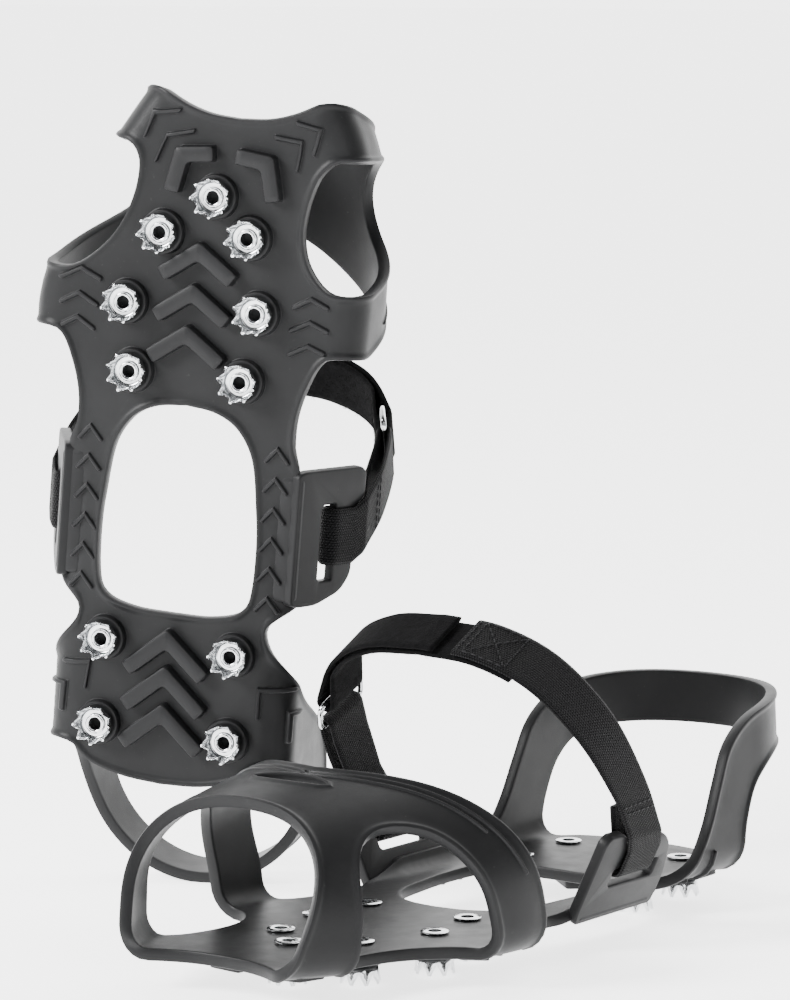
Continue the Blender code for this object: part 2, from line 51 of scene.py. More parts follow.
# The boot that the cleat is stretched over
SOLE_CORNER = 7.0
HEEL_HALF_WIDTH = 41.5
BALL_HALF_WIDTH = 57.0
BALL_Y = 205.0
TOE_REACH = 105.0
TOE_POINT = 1.7                 # 2 would be a blunter toe
HEEL_CENTRE_Y = 40.0
CREST_Z = 58.0
TOE_SHIFT = 12.0
TOE_SHIFT_Y = 200.0
TOE_SHIFT_RUN = 85.0

# Rubber moulding
SHEET = 3.5
SOLE_SPAN = 60.0
WALL_SPAN = 100.0
CREST_U = SOLE_SPAN + WALL_SPAN
BACK_SEAM_Y = HEEL_CENTRE_Y - HEEL_HALF_WIDTH * math.pi / 2
BOSS_R = 7.8
BOSS_H = 3.0
BAR_WIDTH = 5.5
BAR_H = 4.5
CORNER_BARS_X = -8.8
RIDGE_WIDTH = 1.6
RIDGE_H = 1.2
CELL = 2.4                      # spacing of the rubber mesh away from its rims
# (distance in from the edge, rise over the sheet's outer face), and the inner face's rises
RIM = [(0.0, -0.45), (0.22, 0.4), (0.65, 0.62), (1.25, 0.64), (1.8, 0.36), (2.4, 0.1), (3.1, 0.0)]
INNER_RIM = [0.5, 0.12, 0.0, 0.0, 0.0, 0.0, 0.0]
ROW_RISE = 0.87                 # between staggered rows, as a share of the cell
RIM_GAP = 0.62                  # between the cells and the rims, as a share of the cell
RIM_STEP = 2.0                  # along the rims
PATTERN_END = 290.0             # beyond the pattern's front edge
SQUEEZE = np.array((0.8, 1.0))  # evens the cells' shape in the pattern

# Steel
STUDS = [(-6, 249.5), (12.5, 235.5), (-19.3, 236.5), (24, 210), (-24, 211), (20.3, 186.3),
         (-20.3, 187), (24, 91), (-24, 91), (24, 60.5), (-24, 60.5)]
CROWN_T = 0.9
TEETH = 8
TOOTH_H = 6.0
EYELET_BORE_R = 2.3
EYELET_R = 2.8
CROWN_Z = -(SHEET + BOSS_H + 0.3)
GROUND_Z = CROWN_Z - CROWN_T - TOOTH_H

# Brackets and strap
BRACKET_Y = 134.0
BRACKET_FOOT = (42.0, -3.0)
BRACKET_LEAN = math.radians(25)
BRACKET_T = 4.0
SLOT_LOW = 12.0
SLOT_HIGH = 19.0
SLOT_RUN = (-15.5, 11.5)
STRAP_WIDTH = 20.0
STRAP_T = 1.6
TAPE_T = 1.4
STRAP_TILT = math.radians(27)
STRAP_LEAN = 45.0
STRAP_TOP_Z = 94.0
WIRE_R = 1.0
RING_HALF = 12.5
RING_NEAR_S = -72.0
RING_FAR_S = -62.0
RING_OFFSET = -2.1
WEBBING_END_S = 14.0            # the webbing's sewn end
TAPE_END_S = 36.0               # the tape's sewn end, under the webbing
TAIL_END_S = 6.0
LOOP_STEPS = 60
FOLD_R = WIRE_R + 1.0 + TAPE_T / 2

# Where the two cleats stand, in metres
LEFT_PLACE = (0.0596, 0.1408, 0.0)
RIGHT_PLACE = (-0.0604, -0.0382, 0.0026)
RIGHT_FACING = math.radians(19)
RIGHT_LEAN = math.radians(5.5)
CAMERA_AZIMUTH = math.radians(36.3)


# ---- helpers

def smooth(points, steps=6):
    """Catmull-Rom points through an open list of points."""
    pts = [Vector(p) for p in points]
    out = []
    for i in range(len(pts) - 1):
        p1, p2 = pts[i], pts[i + 1]
        p0 = pts[i - 1] if i else p1 * 2 - p2
        p3 = pts[i + 2] if i + 2 < len(pts) else p2 * 2 - p1
        for k in range(steps):
            t = k / steps
            out.append(((p1 * 2) + (p2 - p0) * t + (p0 * 2 - p1 * 5 + p2 * 4 - p3) * t * t
                        + (p1 * 3 - p0 - p2 * 3 + p3) * t ** 3) * 0.5)
    out.append(pts[-1])
    return [tuple(p) for p in out]


def smoothstep(t):
    t = min(1.0, max(0.0, t))
    return t * t * (3 - 2 * t)


def distances(points):
    """How far along an open line each of its points lies."""
    out = [0.0]
    for a, b in zip(points, points[1:]):
        out.append(out[-1] + math.dist(a, b))
    return out


def point_along(line, reach, goal):
    """The point at a distance along a line whose points lie at the distances in reach."""
    i = min(len(line) - 2, max(0, int(np.searchsorted(reach, goal)) - 1))
    t = (goal - reach[i]) / max(1e-9, reach[i + 1] - reach[i])
    return tuple(a + (b - a) * t for a, b in zip(line[i], line[i + 1]))


def resample(points, step, measure=None):
    """Points at an even spacing along a line, its ends kept. measure maps a point to where its
    length counts."""
    reach = distances([measure(p) for p in points] if measure else points)
    count = max(2, round(reach[-1] / step))
    return [point_along(points, reach, reach[-1] * k / count) for k in range(count + 1)]


def resample_closed(points, step):
    return resample(points + points[:1], step)[:-1]


def foot_matrix(foot):
    """From a foot's own frame in millimetres to the row frame. The left foot is mirrored."""
    if foot == "left":
        place = Matrix.Translation(Vector(LEFT_PLACE) - Vector((0, 0, GROUND_Z * MM)))
        return place @ Matrix.Rotation(math.pi, 4, "Z") @ Matrix.Diagonal((-MM, MM, MM, 1))
    outer = Vector((-math.cos(RIGHT_FACING), -math.sin(RIGHT_FACING), 0))
    up = Vector((-math.sin(RIGHT_FACING), math.cos(RIGHT_FACING), 0))
    stand = Matrix((outer, Vector((0, 0, 1)), up)).transposed().to_4x4()
    lean = Matrix.Rotation(RIGHT_LEAN, 4, "Y")
    return Matrix.Translation(RIGHT_PLACE) @ lean @ stand @ Matrix.Diagonal((MM, MM, MM, 1))


def ring_quads(rings, size, start=0, wrapped=False, closed=True):
    """Faces between rings of vertices laid one after another, size vertices in each. wrapped joins
    the last ring to the first, and closed joins the ends of each ring."""
    faces = []
    for r in range(rings if wrapped else rings - 1):
        low, high = start + r * size, start + (r + 1) % rings * size
        for i in range(size if closed else size - 1):
            n = (i + 1) % size
            faces.append((low + i, low + n, high + n, high + i))
    return faces


def clean(mesh, merge=0.0, split_caps=False):
    """Point a mesh's faces out, merge its close vertices and cut its many-sided faces up."""
    bm = bmesh.new()
    bm.from_mesh(mesh)
    if merge:
        bmesh.ops.remove_doubles(bm, verts=bm.verts, dist=merge)
    bmesh.ops.recalc_face_normals(bm, faces=bm.faces)
    if split_caps:
        bmesh.ops.triangulate(bm, faces=[f for f in bm.faces if len(f.verts) > 4])
    bm.to_mesh(mesh)
    bm.free()
    return mesh


def to_mesh(name, vertices, faces, merge=0.0, split_caps=False):
    mesh = bpy.data.meshes.new(name)
    mesh.from_pydata([tuple(v) for v in vertices], [], [tuple(f) for f in faces])
    return clean(mesh, merge, split_caps)


def mirrored(mesh):
    copy = mesh.copy()
    copy.transform(Matrix.Diagonal((-1, 1, 1, 1)))
    copy.flip_normals()
    return copy


def join_meshes(name, meshes):
    bm = bmesh.new()
    for mesh in meshes:
        bm.from_mesh(mesh)
        bpy.data.meshes.remove(mesh)
    joined = bpy.data.meshes.new(name)
    bm.to_mesh(joined)
    bm.free()
    return joined


def from_object(obj):
    """The evaluated mesh of a scratch object, which is then removed."""
    bpy.context.view_layer.update()
    graph = bpy.context.evaluated_depsgraph_get()
    mesh = bpy.data.meshes.new_from_object(obj.evaluated_get(graph))
    bpy.data.objects.remove(obj)
    return mesh


def scratch(name, data):
    obj = bpy.data.objects.new(name, data)
    bpy.context.scene.collection.objects.link(obj)
    return obj


def lay_out(mesh, name, foot, body, nodes, surface, sharp):
    """One foot's piece from a mesh in the foot frame. Edges over sharp degrees stay crisp, and with
    0 every edge is smooth."""
    mesh = mesh.copy()
    matrix = foot_matrix(foot)
    mesh.transform(matrix)
    if matrix.determinant() < 0:
        mesh.flip_normals()
    mesh.materials.clear()
    mesh.materials.append(surface)
    mesh.shade_smooth()
    if sharp:
        mesh.set_sharp_from_angle(angle=math.radians(sharp))
    obj = scratch(f"{foot}_{name}", mesh)
    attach(obj, f"{foot}_{body}")
    if nodes:
        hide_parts(*[f"{foot}_{node}" for node in nodes])
    return obj


# ---- the boot's surface

def half_width(y):
    """Half the sole's width, from the straight heel to the rounded toe."""
    if y >= BALL_Y:
        return BALL_HALF_WIDTH * max(0.0, 1 - ((y - BALL_Y) / TOE_REACH) ** TOE_POINT) ** 0.6
    return HEEL_HALF_WIDTH + (BALL_HALF_WIDTH - HEEL_HALF_WIDTH) * smoothstep((y - 140) / 65)


@functools.lru_cache(maxsize=None)
def wall_section(y):
    """The boot's section above the sole's edge: (x, z) points up the wall and over the vamp, and
    their distances along it."""
    w = half_width(y)
    turns = [k * math.pi / 16 for k in range(9)]
    line = [(w - SOLE_CORNER * (1 - math.sin(a)), SOLE_CORNER * (1 - math.cos(a))) for a in turns]
    if y < 150:
        line.append((w - 4.0, SOLE_CORNER + WALL_SPAN - SOLE_CORNER * math.pi / 2))
    else:
        crest = CREST_Z - 0.19 * (y - BALL_Y)
        shoulder = 0.3 * crest
        for k in range(41):
            a = k * math.pi / 80
            line.append((w * math.cos(a) ** 0.85, shoulder + (crest - shoulder) * math.sin(a) ** 0.9))
    return line, distances(line)


def boot_surface(u, v):
    """The point of the boot under pattern point (u, v). u runs from the sole's centre line to its
    edge at SOLE_SPAN, then up the wall. v runs along the foot, and round the back of the heel."""
    y = max(v, HEEL_CENTRE_Y)
    if u <= SOLE_SPAN:
        x, z = u / SOLE_SPAN * (half_width(y) - SOLE_CORNER), 0.0
    else:
        line, reach = wall_section(round(y, 3))
        x, z = point_along(line, reach, min(1.0, (u - SOLE_SPAN) / WALL_SPAN) * reach[-1])
    if v >= HEEL_CENTRE_Y:
        return Vector((x, y, z))
    turn = (HEEL_CENTRE_Y - v) / HEEL_HALF_WIDTH
    return Vector((x * math.cos(turn), HEEL_CENTRE_Y - x * math.sin(turn), z))


def slopes(u, v, step):
    """How the boot's surface runs across and along the pattern, over a step each way."""
    return (boot_surface(min(CREST_U, u + step), v) - boot_surface(u - step, v),
            boot_surface(u, v + step) - boot_surface(u, v - step))


def wrap(u, v, height):
    """Pattern point (u, v) laid on the boot and raised outwards from it."""
    step = 0.8
    du, dv = slopes(u, v, step)
    if u > CREST_U - 0.01:
        du = Vector((-1, 0, 0))
    normal = dv.cross(du)
    normal.normalize()
    if u < SOLE_SPAN - step:
        normal = Vector((0, 0, -1))
    return boot_surface(u, v) + normal * height


def toe_shift(y):
    """How far the front of the moulding leans towards the big toe."""
    return TOE_SHIFT * smoothstep((y - TOE_SHIFT_Y) / TOE_SHIFT_RUN)


def shift_to_big_toe(point):
    x, y, z = point
    return Vector((x - toe_shift(y), y, z))


def sole_point(x, y):
    """A point of the sole, in pattern coordinates."""
    return x * SOLE_SPAN / (half_width(y) - SOLE_CORNER), y


def on_seam(point):
    """Which seam of the half pattern a point lies on: across the foot, along it, or none."""
    u, v = point
    if min(abs(u), abs(u - CREST_U)) < 0.01:
        return "u"
    if abs(v - BACK_SEAM_Y) < 0.01:
        return "v"
    return None


# ---- the rubber moulding

def pattern_lines():
    """The edges of half the moulding's flat pattern, each an open line from seam to seam with the
    rubber on its right, and the closed edge of the opening between the front and middle arms."""
    edge = SOLE_SPAN
    sole = lambda *points: [sole_point(x, y) for x, y in points]
    front = smooth(sole((0, 276.8), (10, 277.6), (18, 279.8))
                   + [(edge - 4, 282.6), (edge + 5, 284), (75, 282), (95, 277), (115, 271.5),
                      (135, 268), (CREST_U, 267)])
    slot = smooth([(CREST_U, 248.5), (CREST_U - 8, 248), (CREST_U - 16, 246), (CREST_U - 8, 243.8),
                   (CREST_U, 243.2)])
    rear = smooth([(CREST_U, 235), (148, 233), (135, 228), (115, 217.5), (95, 206.5), (75, 199),
                   (edge, 197.5)] + sole((43.5, 188), (40, 175), (40, 160)))
    heel_front = smooth(sole((40, 112)) + [(edge, 100), (68, 85), (79, 75), (94, 67), (106, 60),
                                           (114, 48), (118, 32), (120, 8), (120, BACK_SEAM_Y)])
    heel_rear = smooth([(101, BACK_SEAM_Y), (101, 8), (99, 28), (91, 42), (79, 49), (68, 51.5),
                        (edge, 51.5)] + sole((27, 45.5), (14, 42), (0, 41)))
    window = smooth(sole((0, 102.5), (14, 103), (25, 106.5), (28.5, 115), (28.5, 138), (26, 157),
                         (20, 169), (11, 174.5), (0, 176)))
    opening = smooth([(edge + 3, 264.8), (80, 264), (100, 262.5), (111, 257), (114, 248), (108, 237),
                      (94, 228), (78, 222), (edge, 220)]
                     + sole((38.5, 227.5), (33, 238), (31.5, 249), (32.5, 258))
                     + [(edge - 2, 263), (edge + 3, 264.8)])[::-1]
    side = rear + sole((40, 140), (40, 118)) + heel_front
    return [front, slot, side, heel_rear, window], opening


def scales(u, v):
    """Millimetres on the boot for one unit of u and of v."""
    step = 0.5
    du, dv = slopes(u, v, step)
    run = 2 * step if u < CREST_U - step else step
    return max(0.3, du.length / run), max(0.3, dv.length / (2 * step))


def neighbours(line, i, closed):
    """The points before and after one of a line's. An open line's end is its own neighbour."""
    before = line[i - 1] if i or closed else line[i]
    after = line[(i + 1) % len(line)] if i + 1 < len(line) or closed else line[i]
    return before, after


def inset(line, distance, closed):
    """A pattern line moved to its right by a distance measured on the boot."""
    out = []
    for i, (u, v) in enumerate(line):
        before, after = neighbours(line, i, closed)
        su, sv = scales(u, v)
        tangent = Vector(((after[0] - before[0]) * su, (after[1] - before[1]) * sv))
        normal = Vector((tangent.y, -tangent.x)).normalized()
        seam = None if closed or 0 < i < len(line) - 1 else on_seam((u, v))
        if seam == "u":
            normal = Vector((0, math.copysign(1, normal.y)))
        elif seam == "v":
            normal = Vector((math.copysign(1, normal.x), 0))
        out.append((u + normal.x * distance / su, v + normal.y * distance / sv))
    return out


def inside(points, polygon):
    """Whether each point lies in a polygon."""
    x, y = points[:, 0], points[:, 1]
    result = np.zeros(len(points), bool)
    for (x1, y1), (x2, y2) in zip(polygon, np.roll(polygon, -1, axis=0)):
        if y1 == y2:
            continue
        crosses = ((y1 > y) != (y2 > y)) & (x < (x2 - x1) * (y - y1) / (y2 - y1) + x1)
        result ^= crosses
    return result


def clear_of(points, lines, gap):
    """Whether each point keeps a distance from every line, in scaled pattern units."""
    near = np.full(len(points), 1e9)
    for line in lines:
        for p, q in zip(line, line[1:]):
            d = q - p
            t = np.clip(((points - p) @ d) / max(1e-9, d @ d), 0, 1)
            near = np.minimum(near, np.linalg.norm(points - p - t[:, None] * d, axis=1))
    return near > gap


def on_boot(point):
    return tuple(boot_surface(*point))


def cell_grid():
    """Staggered points over the whole pattern, about a cell apart on the boot."""
    grid = []
    v, row = BACK_SEAM_Y, 0
    while v < PATTERN_END:
        u = 0.0
        while u < CREST_U:
            cell = CELL / scales(u, v)[0]
            grid.append((u + (cell / 2 if row % 2 else 0), v))
            u += cell
        v += CELL * ROW_RISE
        row += 1
    return np.array(grid)


def fill(outline, hole):
    """Even triangles between an outline and a hole in it."""
    grid = cell_grid() * SQUEEZE
    grid = grid[inside(grid, outline) & ~inside(grid, hole)]
    loops = [np.vstack([line, line[:1]]) for line in (outline, hole)]
    grid = grid[clear_of(grid, loops, CELL * RIM_GAP)]
    n, m = len(outline), len(hole)
    edges = [(i, (i + 1) % n) for i in range(n)] + [(n + i, n + (i + 1) % m) for i in range(m)]
    points = [Vector(p) for p in np.vstack([outline, hole, grid])]
    found = delaunay_2d_cdt(points, edges, [], 0, 1e-5)
    spots = np.array([tuple(p) for p in found[0]])
    triangles = np.array([f for f in found[2] if len(f) == 3])
    centres = spots[triangles].mean(axis=1)
    return spots, triangles[inside(centres, outline) & ~inside(centres, hole)]


def half_sheet():
    """Half the moulding: pattern vertices with the ring of the rim that each lies on, faces over
    them, and the edges along its rims."""
    lines, opening = pattern_lines()
    rims = [(resample(line, RIM_STEP, on_boot), False) for line in lines]
    rims.append((resample(opening, RIM_STEP, on_boot)[:-1], True))
    vertices, faces, wall, last_rings = [], [], [], []
    for line, closed in rims:
        start, count = len(vertices), len(line)
        for index, (distance, _) in enumerate(RIM):
            ring = inset(line, distance, closed)
            vertices += [(u, v, index) for u, v in ring]
        last_rings.append(ring)
        faces += ring_quads(len(RIM), count, start, closed=closed)
        wall += [(start + i, start + (i + 1) % count) for i in range(count if closed else count - 1)]
    hole = last_rings.pop()
    border = []
    for ring, following in zip(last_rings, last_rings[1:] + last_rings[:1]):
        border += ring + resample([ring[-1], following[0]], CELL, on_boot)[1:-1]
    spots, triangles = fill(np.array(border) * SQUEEZE, np.array(hole) * SQUEEZE)
    start = len(vertices)
    vertices += [(x / SQUEEZE[0], y, len(RIM) - 1) for x, y in spots]
    faces += [tuple(int(i) + start for i in triangle) for triangle in triangles]
    return vertices, faces, wall


def rubber_sheet():
    """The whole stretched sheet, with a bead round every edge."""
    vertices, faces, wall = half_sheet()
    count = len(vertices)
    places = []
    for heights in ([SHEET + rise for _, rise in RIM], INNER_RIM):
        for u, v, ring in vertices:
            point = wrap(min(CREST_U, max(0.0, u)), v, heights[int(ring)])
            if on_seam((u, v)):
                point.x = 0.0
            places.append(point)
    shell = faces + [tuple(i + count for i in f[::-1]) for f in faces]
    shell += [(b, a, a + count, b + count) for a, b in wall]
    bm = bmesh.new()
    corners = [bm.verts.new(p) for p in places]
    for face in shell:
        try:
            bm.faces.new([corners[i] for i in face])
        except ValueError:
            continue
    bmesh.ops.delete(bm, geom=[v for v in bm.verts if not v.link_faces], context="VERTS")
    half = bpy.data.meshes.new("half")
    bm.to_mesh(half)
    bm.free()
    mesh = join_meshes("rubber_sheet", [half, mirrored(half)])
    clean(mesh, 0.01)
    for vertex in mesh.vertices:
        vertex.co = shift_to_big_toe(vertex.co)
    return mesh


def rounded_ribbon(points, width, arc=7, square=False):
    """The closed outline of a band along an open line, with mitred corners, and round or nearly
    square ends."""
    pts = [Vector(p) for p in points]
    sides = ([], [])
    for i, p in enumerate(pts):
        before = (p - pts[i - 1]).normalized() if i else None
        after = (pts[i + 1] - p).normalized() if i + 1 < len(pts) else None
        run = ((before or after) + (after or before)).normalized()
        side = Vector((-run.y, run.x)) / max(0.5, run.dot(after or before))
        sides[0].append(p + side * width / 2)
        sides[1].append(p - side * width / 2)
    caps = []
    for end, neighbour in ((pts[-1], pts[-2]), (pts[0], pts[1])):
        run = (end - neighbour).normalized()
        side = Vector((-run.y, run.x))
        cap = []
        for k in range(1, arc):
            c, s = math.cos(math.pi * k / arc), math.sin(math.pi * k / arc)
            if square:
                c, s = math.copysign(abs(c) ** 0.4, c), s ** 0.4 * 0.8
            cap.append(end + (side * c + run * s) * width / 2)
        caps.append(cap)
    outline = sides[0] + caps[0] + sides[1][::-1] + caps[1]
    return [tuple(p) for p in outline]


def polygon_inset(outline, distance):
    """A closed outline, counter-clockwise or not, moved inwards by a distance."""
    pts = [Vector(p) for p in outline]
    area = sum(a.x * b.y - b.x * a.y for a, b in zip(pts, pts[1:] + pts[:1]))
    turn = 1 if area > 0 else -1
    out = []
    for i, p in enumerate(pts):
        before = (p - pts[i - 1]).normalized()
        after = (pts[(i + 1) % len(pts)] - p).normalized()
        run = before + after
        if run.length < 1e-6:
            run = after
        run.normalize()
        normal = Vector((-run.y, run.x)) * turn
        out.append(tuple(p + normal * distance / max(0.45, run.dot(after))))
    return out


def relief(outline, rows, lay):
    """A closed body that rises through rows of (inset, height) from a flat outline."""
    vertices = []
    count = len(outline)
    for distance, height in rows:
        vertices += [lay(x, y, height) for x, y in polygon_inset(outline, distance)]
    faces = ring_quads(len(rows), count)
    faces.append(tuple(range(count)))
    faces.append(tuple(range((len(rows) - 1) * count, len(rows) * count)))
    return to_mesh("relief", vertices, faces, split_caps=True)


def under_sole(x, y, height):
    """A point of the tread: height down from the boot's sole."""
    return x, y, -height


def on_pattern(u, v, height):
    return tuple(shift_to_big_toe(wrap(u, v, height)))


def on_pattern_mirrored(u, v, height):
    x, y, z = wrap(u, v, height)
    return tuple(shift_to_big_toe((-x, y, z)))


def raised(height, flare, edge):
    """The rows of a moulded bar: a small fillet at its foot and a rounded top edge."""
    top = SHEET + height
    return [(-flare, SHEET - 0.8), (-flare, SHEET + 0.02), (-flare * 0.45, SHEET + flare * 0.25),
            (-flare * 0.12, SHEET + flare * 0.7), (0, SHEET + flare * 1.2), (edge * 0.12, top - edge),
            (edge * 0.42, top - edge * 0.35), (edge, top)]


def tread():
    """The stud bosses, the chevron bars and the two corner bars under the plate."""
    parts, lines = [], []
    bar_rows = raised(BAR_H, 0.35, 0.5)
    for x, y in ((-1.8, 230.5), (-0.6, 216), (0.6, 201.5)):
        lines.append([(x - 11.3, y - 8), (x, y), (x + 11.3, y - 8)])
    for y in (94, 81, 67.5):
        lines.append([(-12.7, y - 11), (0, y), (12.7, y - 11)])
    for side in (-1, 1):
        line = [(18 * side, 252), (15.5 * side, 263), (6.2 * side, 264)]
        lines.append([(x + CORNER_BARS_X, y) for x, y in line])
    for line in lines:
        outline = round_corners(rounded_ribbon(line, BAR_WIDTH, square=True), 1.6, 3)
        parts.append(relief(outline, bar_rows, under_sole))
    for x, y in STUDS:
        parts.append(boss(x, y))
    return parts


def boss(x, y):
    """A round pad with a soft rim and a dished top, bored for its eyelet."""
    top = SHEET + BOSS_H
    bore = EYELET_R + 0.3
    profile = [(bore, SHEET - 1.0), (BOSS_R + 0.4, SHEET - 1.0), (BOSS_R + 0.4, SHEET + 0.02),
               (BOSS_R + 0.15, SHEET + 0.12), (BOSS_R, SHEET + 0.4), (BOSS_R, SHEET + 1.4),
               (BOSS_R - 0.05, top - 0.5), (BOSS_R - 0.3, top - 0.08), (BOSS_R - 0.75, top + 0.06),
               (BOSS_R - 1.3, top), (BOSS_R - 1.9, top - 0.22), (bore, top - 0.25)]
    mesh = turned(profile, 48)
    mesh.transform(Matrix.Translation((x, y, 0)) @ Matrix.Diagonal((1, 1, -1, 1)))
    mesh.flip_normals()
    return mesh


def turned(profile, steps):
    """A closed profile of (radius, z) points turned about Z."""
    vertices = []
    for k in range(steps):
        a = 2 * math.pi * k / steps
        vertices += [(r * math.cos(a), r * math.sin(a), z) for r, z in profile]
    return to_mesh("turned", vertices, ring_quads(steps, len(profile), wrapped=True))


# Lines of (x, y) under the right foot's sole, before they bend up with the arms
ARM_MARKS = [
    [(9.5, 277.5), (18.5, 276), (21.5, 268)], [(4, 271), (13.5, 268.7), (17, 259.8)],
    [(-33, 277.3), (-41.2, 275.8), (-39.5, 267.5)], [(-25.6, 271.8), (-35, 271), (-34, 261.5)],
    [(48.5, 216), (41.8, 219.7), (34.5, 216.5)], [(48.5, 207.3), (42, 211), (35.2, 207.3)],
    [(47.5, 199.3), (42, 202.5), (36, 199)],
    [(-36.5, 214.5), (-42.6, 218), (-48.5, 215.5)], [(-36, 206.5), (-42.6, 210), (-49, 207.5)],
    [(-36, 198.3), (-42.6, 201.8), (-48.2, 199.8)],
    [(36, 80.5), (29.2, 81.5), (30.2, 72.3)], [(40.5, 71.5), (36.1, 72.3), (36.2, 63)],
    [(-34, 70), (-34, 80), (-39.5, 80.5)], [(-39, 62), (-39, 71.5), (-42.5, 71.5)]]


def ridges():
    """The thin raised chevrons on the arms, the rails and the heel's corners."""
    rows = raised(RIDGE_H, 0.35, 0.4)
    parts = []
    for line in ARM_MARKS:
        line = [sole_point(x + toe_shift(y), y) for x, y in line]
        outline = rounded_ribbon(resample(line[:2], 3)[:-1] + resample(line[1:], 3), RIDGE_WIDTH, 7)
        side = math.copysign(1, line[1][0])
        outline = [(side * u, v) for u, v in outline]
        parts.append(relief(outline, rows, on_pattern if side > 0 else on_pattern_mirrored))
    for k in range(6):
        y = 108 + 10.5 * k
        line = [(30.5, y), (34.5, y + 4.5), (38.5, y)]
        for side in (-1, 1):
            outline = rounded_ribbon([(side * a, b) for a, b in line], RIDGE_WIDTH * 0.8, 5)
            parts.append(relief(outline, rows, under_sole))
    return parts


def band_ridges():
    """The two fine ridges along the top band, behind its slot."""
    fine = raised(0.7, 0.3, 0.3)
    parts = []
    rear = [(CREST_U - 1, 239.2), (148, 237.2), (135, 232.4), (115, 222.4), (100, 214.5), (88, 208.5)]
    second = [(CREST_U - 1, 241.4), (150, 240.0), (135, 235.4), (115, 225.2), (103, 219.0)]
    for line in (rear, second):
        outline = rounded_ribbon(resample(smooth(line), 3), 0.9, 5)
        for lay in (on_pattern, on_pattern_mirrored):
            parts.append(relief(outline, fine, lay))
    return parts


def bracket_point(up, out):
    """A point of the bracket's section: up along its panel, and out from its middle plane."""
    x, z = BRACKET_FOOT
    s, c = math.sin(BRACKET_LEAN), math.cos(BRACKET_LEAN)
    return x + up * s + out * c, z + up * c - out * s


def round_corners(outline, radius, arc=4):
    """A closed outline with each corner replaced by an arc."""
    pts = [Vector(p) for p in outline]
    out = []
    for i, p in enumerate(pts):
        before, after = pts[i - 1] - p, pts[(i + 1) % len(pts)] - p
        cut = min(radius, before.length * 0.45, after.length * 0.45)
        a, b = p + before.normalized() * cut, p + after.normalized() * cut
        for k in range(arc + 1):
            t = k / arc
            out.append(tuple(a * (1 - t) ** 2 + p * 2 * t * (1 - t) + b * t * t))
    return out


def bracket():
    """The slotted ear that stands up from the outer edge of the waist, on the +X side."""
    ear = round_corners([(-23, -1), (23, -1), (24, 3), (24, 31), (22, 33.5), (13, 33.5), (10, 29),
                         (-14, 29), (-20, 24), (-24, 12), (-24, 3)], 3.0)
    heel, toe = SLOT_RUN
    slot = round_corners([(heel + 1, SLOT_LOW), (toe - 1, SLOT_LOW), (toe, SLOT_LOW + 1), (toe, SLOT_HIGH),
                          (heel, SLOT_HIGH), (heel, SLOT_LOW + 1)], 0.9, 4)
    soft = 0.8
    curve = bpy.data.curves.new("ear", "CURVE")
    curve.dimensions = "2D"
    curve.fill_mode = "BOTH"
    curve.extrude = BRACKET_T / 2 - soft
    curve.bevel_depth = soft
    curve.bevel_resolution = 3
    curve.offset = -soft
    for outline in (ear, slot):
        spline = curve.splines.new("POLY")
        spline.points.add(len(outline) - 1)
        for point, (x, y) in zip(spline.points, outline):
            point.co = (x, y, 0, 1)
        spline.use_cyclic_u = True
    mesh = from_object(scratch("ear", curve))
    for vertex in mesh.vertices:
        run, up, out = vertex.co
        x, z = bracket_point(up, out)
        vertex.co = (x, BRACKET_Y + run, z)
    clean(mesh, 1e-3)
    low, high = BRACKET_Y - 22, BRACKET_Y + 22
    root = round_corners([(36, low), (44.6, low), (44.6, high), (36, high)], 2.0)
    rows = [(0.5, 0.15), (0.1, 0.4), (0, 0.9), (0, SHEET - 0.9), (0.25, SHEET - 0.3), (0.8, SHEET - 0.02)]
    return [mesh, relief(root, rows, under_sole)]


def harness_mesh():
    ears = bracket()
    parts = [rubber_sheet()] + tread() + ridges() + band_ridges() + [mirrored(m) for m in ears] + ears
    return join_meshes("harness", parts)


# ---- steel

def crown_mesh():
    """A pressed star: a washer whose eight teeth are bent down and outwards to blunt points."""
    # Rows of (radius, drop), then of (radius, drop, half a tooth's width)
    flat = [(EYELET_R + 0.3, 0.0), (3.9, 0.0), (4.6, 0.02), (5.1, 0.12), (5.45, 0.4), (5.75, 1.0),
            (5.9, 1.7)]
    fall = [(6.02, 2.3, 2.1), (6.15, 3.0, 1.72), (6.28, 3.8, 1.25), (6.42, 4.7, 0.74), (6.5, 5.3, 0.42),
            (6.54, 5.6, 0.2)]
    columns = 8
    vertices, faces, rings = [], [], []
    for k in range(TEETH):
        centre = 2 * math.pi * k / TEETH
        for c in range(columns + 1):
            share = 2 * c / columns - 1
            column = []
            for r, drop in flat:
                a = centre + share * math.pi / TEETH
                column.append((r * math.cos(a), r * math.sin(a), -drop))
            for r, drop, half in fall:
                a = centre + share * half / r
                hollow = 0.35 * share * share * min(1.0, drop)
                radius = r - hollow
                column.append((radius * math.cos(a), radius * math.sin(a), -drop))
            rings.append(len(vertices))
            vertices += column
    depth = len(flat) + len(fall)
    for k in range(TEETH):
        for c in range(columns):
            a, b = rings[k * (columns + 1) + c], rings[k * (columns + 1) + c + 1]
            for i in range(depth - 1):
                faces.append((a + i, b + i, b + i + 1, a + i + 1))
    mesh = to_mesh("crown", vertices, faces, merge=0.05)
    obj = scratch("crown", mesh)
    thick = obj.modifiers.new("thick", "SOLIDIFY")
    thick.thickness = CROWN_T
    thick.offset = 0
    edge = obj.modifiers.new("edge", "BEVEL")
    edge.width = 0.16
    edge.segments = 2
    edge.limit_method = "ANGLE"
    edge.angle_limit = math.radians(40)
    mesh = from_object(obj)
    mesh.transform(Matrix.Translation((0, 0, CROWN_Z - CROWN_T / 2)))
    return mesh


